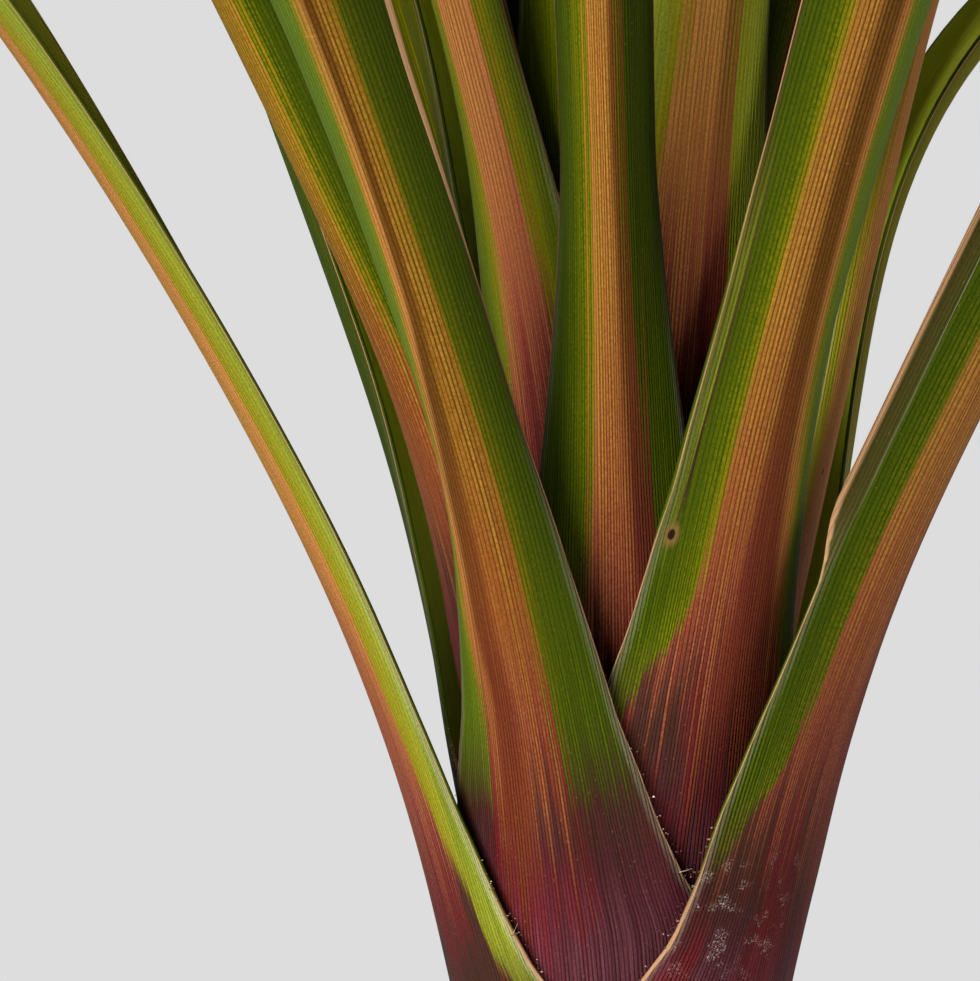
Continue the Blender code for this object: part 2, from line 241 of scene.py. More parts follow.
class Leaf:
    """One leaf: a spine that leans out and arches over, and a channel section that opens along it."""

    def __init__(self, number, trunk_radius):
        self.number = number
        self.habit = habit_of(number)
        self.length = float(curve_through(LEAF_LENGTHS, number))
        self.breadth = self.habit.broad * float(curve_through(LEAF_BREADTHS, number))
        self.azimuth = math.radians(FIRST_AZIMUTH + GOLDEN_ANGLE * (number - 1) + self.habit.turn)
        self.height = box_of(f"leaf_{number:02d}")[0].z
        facet = math.radians(SHEATH_HALF_ANGLE / SHEATH_FACETS)
        self.seat_radius = trunk_taper(number, trunk_radius) / math.cos(facet) + SEAT_GAP

    def leans(self):
        """Degrees from upright along the spine. Older leaves lean further and droop at the tip."""
        above = self.number - 1
        at_seat = 12.0 - 0.10 * above
        in_sheath = at_seat + 1.0 - 0.02 * above
        at_neck = 28.0 - 0.55 * above + self.habit.lean
        past_neck = at_neck + 7.0 - 0.12 * above + self.habit.arch
        at_tip = 112.0 - 2.3 * above
        return (
            (0.0, at_seat),
            (0.03, in_sheath),
            (0.065, 0.5 * (in_sheath + at_neck)),
            (0.10, at_neck),
            (0.20, past_neck),
            (0.20 + 0.45 * (self.length - 0.20), past_neck + 0.38 * (at_tip - past_neck)),
            (self.length, at_tip),
        )

    def spine(self, at):
        """The keel's distance out, aside and up at distances along the leaf, with its lean and drift."""
        along = np.linspace(0, self.length, int(round(self.length / SPINE_STEP)) + 1)
        lean = np.radians(curve_through(self.leans(), along))
        drift = math.radians(self.habit.drift) * rise(along, 0.03, 0.20)
        step = np.diff(along)
        mid_lean = 0.5 * (lean[1:] + lean[:-1])
        mid_drift = 0.5 * (drift[1:] + drift[:-1])
        out = self.seat_radius + np.append(0, np.cumsum(step * np.sin(mid_lean) * np.cos(mid_drift)))
        aside = np.append(0, np.cumsum(step * np.sin(mid_lean) * np.sin(mid_drift)))
        up = self.height + np.append(0, np.cumsum(step * np.cos(mid_lean)))
        return [np.interp(at, along, values) for values in (out, aside, up, lean, drift)]

    def past_neck(self, share):
        """The distance along the leaf at a share of what lies beyond its neck."""
        return NECK_END + share * (self.length - NECK_END)

    def half_angle(self, at):
        """Half the arc of the cross-section: a clasping sheath, a folded neck and a nearly flat blade."""
        fold = self.habit.fold
        sheath = ((0.0, SHEATH_HALF_ANGLE), (0.020, 62), (0.030, 48), (0.042, 40), (0.065, 46 + 0.4 * fold))
        neck = ((0.105, 70 + fold), (NECK_END, 70 + fold))
        blade = ((self.past_neck(0.22), 50 + 0.5 * fold), (self.past_neck(0.55), 27), (self.length, 18))
        return np.radians(curve_through(sheath + neck + blade, at))

    def width(self, at, out):
        """Width of the flattened leaf. The sheath's follows its distance out from the trunk's axis."""
        low = ((0.0, 0.050), (0.03, 0.037), (0.057, 0.028), (0.08, 0.023), (0.105, 0.021))
        past = ((0.0, 0.023), (0.2, 0.034), (0.4, 0.041), (0.6, 0.036), (0.82, 0.018))
        high = tuple((self.past_neck(share), width) for share, width in past)
        blade = curve_through(low + high + ((self.length, TIP_WIDTH),), at) * self.breadth
        sheath = 2 * self.half_angle(at) * out
        share = rise(at, 0.018, 0.055)
        return sheath * (1 - share) + blade * share

    def thickness(self, at, across):
        """Thickest at the keel. Young leaves are thinner."""
        keel = ((0.0, 1.0), (0.06, 1.0), (NECK_END, 0.90), (self.past_neck(0.5), 0.53), (self.length, 0.34))
        youth = 1.0 - 0.45 * (self.number - 1) / LEAF_COUNT
        extra = (curve_through(keel, at) * KEEL_THICKNESS - BLADE_EDGE) * youth
        return BLADE_EDGE + extra * (1 - abs(across)) ** 1.6

    def inner_face(self, at, across):
        """Points of the inner face, as rows along the leaf of points across it, and the flat width."""
        out, aside, up, lean, drift = (values[:, None] for values in self.spine(at))
        radial = np.array([math.sin(self.azimuth), -math.cos(self.azimuth), 0.0])
        sideways = np.array([math.cos(self.azimuth), math.sin(self.azimuth), 0.0])
        upright = np.array([0.0, 0.0, 1.0])
        keel = out * radial + aside * sideways + up * upright
        heading = np.cos(drift) * radial + np.sin(drift) * sideways
        right = np.cos(drift) * sideways - np.sin(drift) * radial
        tilt = lean * rise(at, 0.0, 0.06)[:, None]
        inward = np.sin(tilt) * upright - np.cos(tilt) * heading
        twist = math.radians(self.habit.twist) * rise(at, 0.04, 0.25)[:, None]
        right, inward = (
            np.cos(twist) * right + np.sin(twist) * inward,
            np.cos(twist) * inward - np.sin(twist) * right,
        )
        half = self.half_angle(at)[:, None]
        width = self.width(at, out[:, 0])[:, None]
        bend = width / (2 * half)
        columns = [
            keel + bend * (np.sin(angle) * right + (1 - np.cos(angle)) * inward)
            for angle in (share * half for share in across)
        ]
        return np.stack(columns, axis=1), width[:, 0]


def lengths(vectors):
    return np.linalg.norm(vectors, axis=1, keepdims=True)


def crosswise(vectors, way):
    """What is left of the vectors without their part along a way of length 1."""
    return vectors - np.sum(vectors * way, axis=1, keepdims=True) * way


def fold_margin(face, at, across, hem):
    """Turns the margin beyond the hem's crease. Gives the fold's share at each cross-section."""
    outside = hem.side * across - hem.share
    crease = int(np.argmin(np.abs(outside)))
    line = face[:, crease]
    amount = rise(at, hem.start, hem.start + 0.016) * (1 - rise(at, hem.end - 0.03, hem.end))
    amount = amount[:, None]
    tangent = np.gradient(line, axis=0)
    tangent /= lengths(tangent)
    inward = 0.5 * (face[:, 0] + face[:, -1]) - face[:, len(across) // 2]
    reach = face[:, 0 if hem.side < 0 else -1] - line
    direction = reach / lengths(reach)
    normal = crosswise(crosswise(inward, tangent), direction)
    normal /= lengths(normal)
    angle = np.radians(hem.turn) * amount
    stretch = 1 + amount * hem.extra / lengths(reach)
    for column in np.flatnonzero(outside > outside[crease]):
        length = lengths(face[:, column] - line) * stretch
        face[:, column] = line + length * (np.cos(angle) * direction + np.sin(angle) * normal)
    return amount


# Shader maths


def maths_method(operation, swapped=False):
    """An arithmetic method that adds one Math node."""

    def method(self, *others):
        values = (*others, self) if swapped else (self, *others)
        return self.maths(operation, *values)

    return method


class Socket:
    """A shader socket. Arithmetic on it adds Math nodes."""

    def __init__(self, shader, end):
        self.shader = shader
        self.end = end

    def maths(self, operation, *values):
        return self.shader.node("ShaderNodeMath", {"operation": operation}, dict(enumerate(values)))

    __add__ = __radd__ = maths_method("ADD")
    __sub__ = maths_method("SUBTRACT")
    __rsub__ = maths_method("SUBTRACT", swapped=True)
    __mul__ = __rmul__ = maths_method("MULTIPLY")
    __truediv__ = maths_method("DIVIDE")
    __pow__ = maths_method("POWER")
    __abs__ = maths_method("ABSOLUTE")


class Shader:
    """A new material or world. Its nodes come from one method, and its maths from their sockets."""

    def __init__(self, name, kind="materials", surface="Principled BSDF"):
        self.owner = getattr(bpy.data, kind).new(name)
        self.owner.use_nodes = True
        self.tree = self.owner.node_tree
        self.surface = self.tree.nodes[surface]

    def fill(self, item, sockets):
        for key, value in sockets.items():
            if isinstance(value, Socket):
                self.tree.links.new(value.end, item.inputs[key])
            else:
                item.inputs[key].default_value = value

    def node(self, kind, settings=(), sockets=(), output=0):
        """A node of this kind with its settings, then the values or links of its sockets."""
        item = self.tree.nodes.new(kind)
        for key, value in dict(settings).items():
            setattr(item, key, value)
        self.fill(item, dict(sockets))
        return Socket(self, item.outputs[output])

    def finish(self, **sockets):
        """Sets the surface's sockets, whose names are written with underscores."""
        self.fill(self.surface, {key.replace("_", " "): value for key, value in sockets.items()})
        return self.owner

    def attribute(self, name):
        """The three numbers of a mesh attribute."""
        vector = self.node("ShaderNodeAttribute", {"attribute_name": name}, output=1)
        return [self.node("ShaderNodeSeparateXYZ", (), {0: vector}, i) for i in range(3)]

    def vector(self, x, y, z):
        return self.node("ShaderNodeCombineXYZ", (), {0: x, 1: y, 2: z})

    def place(self):
        return self.node("ShaderNodeTexCoord", output="Object")

    def noise(self, vector, scale, detail=2.0, roughness=0.5):
        sockets = {"Vector": vector, "Scale": scale, "Detail": detail, "Roughness": roughness}
        return self.node("ShaderNodeTexNoise", (), sockets)

    def step(self, value, low, high):
        """0 below low and 1 above high, smooth between. Given high first, it falls."""
        settings = {"interpolation_type": "SMOOTHSTEP", "clamp": True}
        return self.node("ShaderNodeMapRange", settings, {0: value, 1: low, 2: high, 3: 0.0, 4: 1.0})

    def mix(self, share, base, colour, blend="MIX"):
        """A colour laid over the base."""
        below, above = (
            value if isinstance(value, Socket) else (*value[:3], 1.0) for value in (base, colour)
        )
        settings = {"data_type": "RGBA", "blend_type": blend}
        return self.node("ShaderNodeMix", settings, {0: share, 6: below, 7: above}, 2)

    def layers(self, base, *layers):
        """Lays (share, colour) layers over the base, one after the other."""
        for share, colour in layers:
            base = self.mix(share, base, colour)
        return base

    def brighter(self, colour, amount):
        """The colour multiplied by a number."""
        return self.mix(1.0, colour, self.vector(amount, amount, amount), "MULTIPLY")

    def bump(self, height, distance, strength):
        sockets = {"Height": height, "Distance": distance, "Strength": strength}
        return self.node("ShaderNodeBump", (), sockets)


class LeafShader(Shader):
    """A leaf material, with the place on the leaf as sockets."""

    def __init__(self, name):
        super().__init__(name)
        self.across, self.along, self.share = self.attribute("place")
        self.seed, self.length, self.half_width = self.attribute("growth")
        self.inset = (1.0 - abs(self.share)) * self.half_width

    def fleck(self, wide, tall, shift=0.0, detail=2.0, roughness=0.5):
        """Noise with so many repeats a millimetre across and along the leaf."""
        place = self.vector(self.across * wide, self.along * tall, self.seed + shift)
        return self.noise(place, 1.0, detail, roughness)

    def veins(self, shift, pitch):
        """Ribs that run along the blade: their profile from groove to crest, and three values for each rib.
        Pitch is a share of the usual one."""
        seed = self.seed + shift
        warp = self.noise(self.vector(self.share * 4.5, self.along * 0.006, seed), 1.0)
        phase = (self.across + warp * 1.2) / (pitch * sizes().vein_pitch / MM)
        rib = phase.maths("FLOOR", phase)
        off_crest = abs(phase - rib - 0.5)
        own = self.node("ShaderNodeTexWhiteNoise", {"noise_dimensions": "1D"}, {"W": rib + seed * 31.0})
        fade = self.noise(self.vector(rib * 0.7, self.along * 0.03, seed), 1.0)
        dash = self.step(self.noise(self.vector(rib * 3.7, self.along * 1.7, seed), 1.0, 1.0), 0.34, 0.62)
        return self.step(off_crest + (own - 0.5) * 0.16, 0.54, 0.20), own, fade, dash

    def mark(self, name, squash):
        """The distance from a mark's middle, in its radii. Squash makes it shorter along the leaf."""
        share, along, radius = self.attribute(name)
        aside = (self.share - share) * self.half_width
        return (aside**2.0 + ((self.along - along) * squash) ** 2.0) ** 0.5 / radius

    def dry_tip(self, base, cloud):
        """The colour with the leaf's tip withered."""
        tip = self.step(self.along - self.length + (cloud - 0.5) * 50.0, -34.0, -6.0)
        return self.mix(tip, base, colours().dry)


# Properties


class CabbageTreeSizes(bpy.types.PropertyGroup):
    """Sizes of the plant and its soil, and how finely the leaves are divided."""

    trunk_radius: size_property(
        "Trunk Radius",
        "Radius of the bare trunk",
        0.5 * (box_of("trunk")[1].x - box_of("trunk")[0].x),
    )
    vein_pitch: size_property("Vein Pitch", "Distance between a leaf's fine ribs", 0.72 * MM)
    scar_pitch: size_property("Scar Pitch", "Height between the scars of fallen leaves", 4.6 * MM)
    crumb_size: size_property("Crumb Size", "Radius of the soil's largest crumbs", 2.6 * MM)
    leaf_rows: IntProperty(
        name="Leaf Rows", description="Cross-sections along each leaf", default=130, min=20, max=400
    )
    leaf_columns: IntProperty(
        name="Leaf Columns", description="Faces across each leaf", default=28, min=6, max=80
    )


# What each colour is for, and its red, green and blue out of 255
COLOURS = {
    "green": ("Outer face of the blade", 42, 57, 0),
    "light_green": ("Beside the midrib", 88, 108, 0),
    "pale_green": ("Outer face of a pale blade", 138, 146, 44),
    # The bloom on a flank is a painted sheen: this blue-green stands for grazing reflections of the studio.
    "blue_green": ("Flank with a bloom", 96, 122, 32),
    "yellow": ("Edge of the midrib", 138, 126, 4),
    "olive": ("Outer face of an olive blade", 104, 100, 6),
    "umber": ("Where green turns to maroon", 58, 32, 26),
    "maroon": ("Sheath", 68, 26, 36),
    "pale_maroon": ("Ribs of the sheath", 146, 92, 104),
    "amber": ("Midrib of the blade", 132, 84, 2),
    "brown": ("Dark middle of the midrib", 92, 48, 4),
    "tan": ("Ribs of the midrib", 186, 138, 56),
    "russet": ("Midrib above the sheath", 120, 54, 22),
    "crimson": ("Midrib where it leaves the sheath", 104, 16, 26),
    "pink": ("Midrib of a pink leaf", 196, 112, 76),
    "rose": ("Midrib of a pink leaf above the sheath", 176, 82, 72),
    "silver": ("Ribs beside the edge, low on the leaf", 196, 200, 168),
    "margin": ("Edge of the blade", 164, 126, 92),
    "dust": ("Dust on the sheaths", 196, 182, 172),
    "inner_green": ("Inner face of the blade", 98, 100, 24),
    "dry": ("Withered tips and tears", 128, 92, 56),
    "clay": ("Pot", 176, 98, 68),
    "lime": ("Bloom on the pot", 214, 190, 168),
    "earth": ("Soil", 52, 38, 28),
    "perlite": ("White grains in the soil", 216, 212, 200),
    "bark": ("Trunk", 132, 104, 78),
    "stage": ("Floor", 194, 193, 191),
}


class CabbageTreeColours(bpy.types.PropertyGroup):
    """Colours of the plant, its soil, its pot and the floor."""

    __annotations__ = {name: colour_property(name, *values) for name, values in COLOURS.items()}


def sizes():
    return bpy.context.scene.cabbage_tree_sizes


def colours():
    return bpy.context.scene.cabbage_tree_colours


# Leaf materials


def outer_leaf_material():
    """Green flanks, a striped amber midrib that turns crimson, a maroon sheath and a pale edge."""
    tint = colours()
    shader = LeafShader("leaf outer face")
    step, mix, brighter, fleck = shader.step, shader.mix, shader.brighter, shader.fleck
    along, share, inset = shader.along, shader.share, shader.inset
    flush, left, right = shader.attribute("midrib")
    core, pink, pale = shader.attribute("shade")
    # Bloom also sets the painted blue-green sheen on a flank, beside the midrib's rosy edge.
    climb, dusty, bloom = shader.attribute("dust_and_sheen")
    past, valley, ridge = shader.attribute("hem")
    edge, _, _ = shader.attribute("edge")
    _, light, dusk = shader.attribute("light")
    # Painted shade: dusk darkens the right side of the midrib and the flank beside it, less near the right
    # edge.
    shadow = dusk * step(share, -0.1, 0.4) * (1.0 - step(share, 0.45, 0.8) * 0.5)
    low = step(along, 85.0, 50.0)
    close = low.maths("MAXIMUM", low, step(dusk, 0.3, 0.5))
    ribs = zip(shader.veins(0.0, 1.0), shader.veins(20.0, 0.6))
    crest, own, fade, dash = (coarse + (fine - coarse) * close for coarse, fine in ribs)
    streak = fleck(0.9, 0.012, 3.0, 4.0, 0.6)
    hair = fleck(3.4, 0.06, 7.0, 3.0, 0.6)
    grain = step(fleck(3.6, 1.9, 0.0, 2.0, 0.7), 0.32, 0.68)
    cloud = fleck(0.13, 0.03, 0.0, 3.0)
    fibre = step(hair, 0.30, 0.70)

    # Where the midrib and the sheath are: millimetres beyond the midrib's edge, and above the flush
    place = (share + left) / (left + right) * 2.0 - 1.0
    over = (abs(place) - 1.0) * (left + right) * shader.half_width * 0.5
    over = over + (streak - 0.5) * 2.4 + (own - 0.5) * 1.6
    band = step(over, 0.7, -0.7)
    height = along - flush + (own - 0.5) * 3.0 + (hair - 0.5) * 6.0 + (cloud - 0.5) * 6.0
    deep = along - flush - climb + (own - 0.5) * 16.0 + (streak - 0.5) * 24.0

    # Light green beside the midrib, faded on the right side by the painted shade.
    near = step(over, 5.0, 0.4) * (1.0 - shadow * 1.8)
    # Painted sheen: blue-green laid on the flank on bloom's side, standing for grazing reflections.
    painted_sheen = step(bloom * share, 0.0, 0.3) * bloom * bloom
    flank = shader.layers(
        tint.green,
        (near * (0.25 + abs(pale)), tint.light_green),
        (step(pale, 0.0, 1.0), tint.pale_green),
        (step(pale, 0.0, -1.0), tint.olive),
        (own * (0.25 + low * 0.35) * crest, tint.light_green),
        (near * crest * own * dash * 0.55, tint.yellow),
        (painted_sheen * (0.3 + step(along, 75.0, 120.0) * 0.4), tint.blue_green),
        (step(height, 14.0, 0.0) * 0.6, tint.umber),
    )

    middle = step(abs(place - core) + (streak - 0.5) * 0.4, 0.60, 0.25)
    stripe = crest * (own * 0.55 + fade * 0.75) * (0.55 + dash * 0.50) * (1.0 - middle * 0.6)
    russet = shader.layers(tint.russet, (pink * 0.8, tint.rose), (stripe * 0.5, tint.tan))
    crimson = mix(stripe * 0.5, tint.crimson, mix(0.5, tint.pink, tint.pale_maroon))
    midrib = shader.layers(
        tint.amber,
        (fleck(0.42, 0.006, 9.0, 1.0), tint.brown),
        (pink * 0.85, tint.pink),
        (middle * (1.0 - pink * 0.5) * 0.7, tint.brown),
        (step(pink, 0.0, -1.0), tint.yellow),
        (step(pale, 0.0, 1.5) * 0.6, tint.tan),
        (stripe * 0.8, tint.tan),
        (step(deep, 58.0, 18.0), russet),
        (step(deep - middle * 6.0, 26.0, 2.0) * (0.5 + pink * 0.35), crimson),
    )
    rosy = mix(0.5, brighter(tint.pink, 0.8), tint.tan)
    toward = (step(bloom, -0.01, 0.01) * 2.0 - 1.0) * place
    faded = step(deep, -10.0, 40.0) * step(abs(bloom), 0.0, 0.6)
    midrib = brighter(midrib, 1.0 - middle * 0.28)
    midrib = mix(step(toward, 0.45, 0.80) * faded * (0.50 + crest * 0.40), midrib, rosy)

    blush = step(cloud + (streak - 0.5) * 0.5, 0.40, 0.60)
    risen = 0.12 + step(height, -8.0, -28.0) * 0.88
    sheath = shader.layers(
        tint.maroon,
        (step(height, -18.0, 0.0), tint.umber),
        (blush * (0.15 + band * 0.5), tint.crimson),
        (crest * (0.05 + fade * 0.55) * (0.3 + fibre * 0.7) * risen, tint.pale_maroon),
    )
    flank = mix(step(height, 3.0, -3.0), flank, sheath)
    midrib = mix(step(deep + middle * 12.0, 6.0, -18.0), midrib, sheath)

    # The midrib on the flanks, its yellow fringe, and the hem and ribs beside the leaf's edge
    # The yellow fringe is faded on the right side by the painted shade as well.
    fringe = step(over, -1.4, 0.0) * step(over / (1.0 + abs(pale)), 1.8, 0.0)
    fringe = fringe * step(height, 4.0, 40.0) * (1.0 - dusty * 0.8) * (1.0 - shadow * 1.8)
    on_hem = step(past, -0.1, 0.2)
    # Painted light and dry tissue: a valley fold's strip is pale green where turned to the light, browning
    # higher up.
    painted_light_and_tear = mix(step(streak + (along - 120.0) / 160.0, 0.46, 0.60), tint.pale_green, tint.dry)
    silver = crest * step(inset, 1.7, 0.5) * step(along, 110.0, 60.0) * (1.0 - ridge)
    base = shader.layers(
        flank,
        (band, midrib),
        (fringe * (0.08 + crest * 0.35 + abs(pale) * 0.5), tint.yellow),
        (valley * on_hem * (0.25 + fibre * 0.30), painted_light_and_tear),
        # Beyond a ridge fold the strip is darker green as painted shade on a strip turned away from the
        # light.
        (ridge * on_hem * 0.8, brighter(tint.green, 0.8)),
        (silver * (0.02 + fade * (0.22 + abs(pale) * 0.5)), tint.silver),
    )
    ribbed = 0.5 + 0.5 * band.maths("MAXIMUM", band, low)
    lit = 1.0 - (1.0 - crest) * (0.35 + fade * 0.9) * (0.55 + fibre * 0.45) * ribbed
    # Painted light and shade: light brightens the lower outer face of a leaf in shade, and the painted shade
    # darkens its right side.
    painted_light_gain = 1.0 + (light - 1.0) * step(along, 240.0, 140.0)
    base = brighter(base, (0.30 + lit * 0.66) * (0.74 + grain * 0.34 + fibre * 0.22))
    base = brighter(base, painted_light_gain * (1.0 - shadow))

    # Marks: the hem's crease, with painted shade along a valley fold and scuffs along a ridge fold, painted
    # glints, dust, spots, a dry tip, a pit, a scar and the leaf's pale edge
    off_crease = abs(past + (streak - 0.5) * 0.8)
    worn = brighter(mix(step(streak, 0.42, 0.58), tint.dry, tint.dust), 0.6)
    patch = step(fleck(0.38, 0.30, 2.0), 0.50, 0.62) * step(along, 46.0, 40.0)
    patch = patch * step(along, 20.0, 27.0) * step(share, 0.1, -0.2)
    dust = step(fleck(3.6, 3.0, 0.0, 5.0, 0.8) + patch * 0.08, 0.58, 0.72) * patch
    spotted = shader.vector(shader.across / 16.0, along / 34.0, shader.seed)
    spots = shader.node("ShaderNodeTexVoronoi", {"feature": "F1"}, {"Vector": spotted, "Scale": 1.0})
    base = shader.layers(
        base,
        # Painted shade: the crease of a valley fold darkened in umber, as shade in the groove.
        (valley * step(off_crease, 0.30, 0.08) * 0.9, tint.umber),
        (ridge * step(off_crease, 0.20, 0.06) * (0.10 + fibre * 0.45), worn),
        # Painted glints: tan specks standing for small highlights on the surface.
        (step(fleck(2.4, 1.5, 4.0, 1.0), 0.68, 0.78) * 0.16, tint.tan),
        (dust * dusty * 0.7, tint.dust),
        (step(spots + (streak - 0.5) * 0.03, 0.030, 0.016) * 0.85, tint.umber),
    )
    pit, scar = shader.mark("pit", 0.6), shader.mark("scar", 5.0)
    broad = step(share, -0.1, 0.1) * (edge - PALE_EDGE) * step(along, 116.0, 160.0)
    thin = PALE_EDGE + step(along, 42.0, 26.0) * 0.28 + broad
    base = shader.layers(
        shader.dry_tip(base, cloud),
        (step(pit + hair * 0.6, 3.4, 1.6) * 0.6, tint.dry),
        (step(pit, 1.2, 0.8), brighter(tint.umber, 0.4)),
        (step(scar + hair * 0.8, 1.6, 0.8) * 0.45, tint.tan),
        (step(inset, 1.1, 0.4) * 0.30, tint.maroon),
        (step(inset, thin, thin - 0.14) * 0.85, brighter(tint.margin, 0.75 + hair * 0.7 + broad * 0.6)),
    )
    relief = 0.3 + step(along, 300.0, 160.0) * 0.7
    rough = (crest * (0.3 + fade * 0.6) + hair * 0.5 + grain * 0.12) * relief
    return shader.finish(
        Base_Color=base,
        Roughness=0.52 + streak * 0.12,
        Normal=shader.bump(rough, 0.16 * MM, 0.9),
        Specular_IOR_Level=0.10,
        Specular_Tint=(*linear(255, 236, 170), 1.0),
    )


def inner_leaf_material():
    """Plainer and darker than the outer face, with a faint brownish midrib."""
    tint = colours()
    shader = LeafShader("leaf inner face")
    step, along = shader.step, shader.along
    flush, _, _ = shader.attribute("midrib")
    _, _, pale = shader.attribute("shade")
    inside, _, _ = shader.attribute("light")
    # Painted light: inside turns the lower inner face pale green and brightens it, for leaves in shade.
    inside = inside * step(along, 230.0, 150.0)
    relief = 0.05 + step(along, 260.0, 120.0) * 0.95
    crest, own, fade, _ = shader.veins(40.0, 1.0)
    streak = shader.fleck(0.9, 0.012, 3.0, 4.0, 0.6)
    cloud = shader.fleck(0.10, 0.02, shader.seed * 2.0, 3.0)
    height = along - flush + (streak - 0.5) * 30.0
    band = step(abs(shader.share) + (cloud - 0.5) * 0.1, 0.26, 0.12)
    base = shader.layers(
        tint.maroon,
        (step(height, -20.0, 4.0), tint.inner_green),
        (step(pale, 0.0, -1.0), tint.olive),
        (inside * 0.85, tint.pale_green),
        (band * 0.25 * (1.0 - inside), tint.brown),
        (crest * own * relief * 0.35, tint.light_green),
    )
    # Inside brightens the base further, as painted light.
    base = shader.brighter(base, 0.95 + (streak + fade - 1.0) * relief * 0.4 + inside * 1.4)
    base = shader.dry_tip(base, cloud)
    return shader.finish(
        Base_Color=shader.mix(step(shader.inset, 0.3, 0.1) * 0.8, base, tint.margin),
        Roughness=0.56,
        Normal=shader.bump((crest * 0.6 + streak * 0.4) * relief, 0.15 * MM, 0.8),
        Specular_IOR_Level=0.04,
    )


def rim_material():
    """The cut edge between a leaf's faces: pale and dry on the sheath, green beyond."""
    tint = colours()
    shader = LeafShader("leaf rim")
    along = shader.along
    cloud = shader.fleck(1.0, 0.05, 0.0, 3.0)
    base = shader.layers(
        tint.green,
        (cloud * 0.5, tint.light_green),
        (shader.step(along + cloud * 12.0, 50.0, 34.0), tint.margin),
        (shader.step(along - shader.length, -34.0, -6.0), tint.dry),
    )
    base = shader.brighter(base, 0.75 + cloud * 0.4)
    return shader.finish(Base_Color=base, Roughness=0.6, Specular_IOR_Level=0.10)


# Mesh helpers


def deselect():
    if bpy.context.mode != "OBJECT":
        bpy.ops.object.mode_set(mode="OBJECT")
    bpy.ops.object.select_all(action="DESELECT")


def seated(piece, name, node, materials=()):
    """Names a finished piece, adds its materials, attaches it to the body and hides its CAD node, if it has
    one.
    """
    piece.name = name
    piece.data.name = name
    for material in materials:
        piece.data.materials.append(material)
    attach(piece, BODY)
    if node:
        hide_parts(node)
    return piece


def linked(name, data):
    """A new object in the scene."""
    item = bpy.data.objects.new(name, data)
    bpy.context.scene.collection.objects.link(item)
    return item


def apply_modifiers(piece):
    bpy.context.view_layer.objects.active = piece
    for modifier in list(piece.modifiers):
        bpy.ops.object.modifier_apply(modifier=modifier.name)


def point_values(mesh):
    values = np.empty(len(mesh.vertices) * 3)
    mesh.vertices.foreach_get("co", values)
    return values.reshape(-1, 3)


def set_points(mesh, points):
    mesh.vertices.foreach_set("co", np.asarray(points, float).ravel())
    mesh.update()


def add_attribute(mesh, name, values):
    """An attribute of three values, each a number or one for each of the mesh's points."""
    layer = mesh.attributes.new(name, "FLOAT_VECTOR", "POINT")
    spread = [np.broadcast_to(value, len(mesh.vertices)) for value in values]
    layer.data.foreach_set("vector", np.stack(spread, axis=1).astype(float).ravel())


def lathe(profile, sides):
    """A turned body: a circle that is extruded and resized along (radius, height) points."""
    deselect()
    radius, height = profile[0]
    bpy.ops.mesh.primitive_circle_add(vertices=sides, radius=radius, location=(0, 0, height))
    bpy.ops.object.transform_apply(location=True)
    bpy.ops.object.mode_set(mode="EDIT")
    bpy.ops.mesh.select_all(action="SELECT")
    for (old_radius, old_height), (new_radius, new_height) in zip(profile, profile[1:]):
        move = {"value": (0, 0, new_height - old_height)}
        bpy.ops.mesh.extrude_region_move(TRANSFORM_OT_translate=move)
        scale = new_radius / old_radius
        bpy.ops.transform.resize(value=(scale, scale, 1), center_override=(0, 0, new_height))
    bpy.ops.object.mode_set(mode="OBJECT")
    return bpy.context.object


def close_ends(piece):
    """Fills a turned body's two open ends and turns its faces outwards."""
    bpy.ops.object.mode_set(mode="EDIT")
    bpy.ops.mesh.select_all(action="DESELECT")
    bpy.ops.mesh.select_mode(type="EDGE")
    bpy.ops.mesh.select_non_manifold()
    bpy.ops.mesh.edge_face_add()
    bpy.ops.mesh.select_all(action="SELECT")
    bpy.ops.mesh.normals_make_consistent(inside=False)
    bpy.ops.object.mode_set(mode="OBJECT")
    return piece


def round_shading(piece, degrees=35):
    deselect()
    piece.select_set(True)
    bpy.context.view_layer.objects.active = piece
    bpy.ops.object.shade_smooth_by_angle(angle=math.radians(degrees))


# Leaves


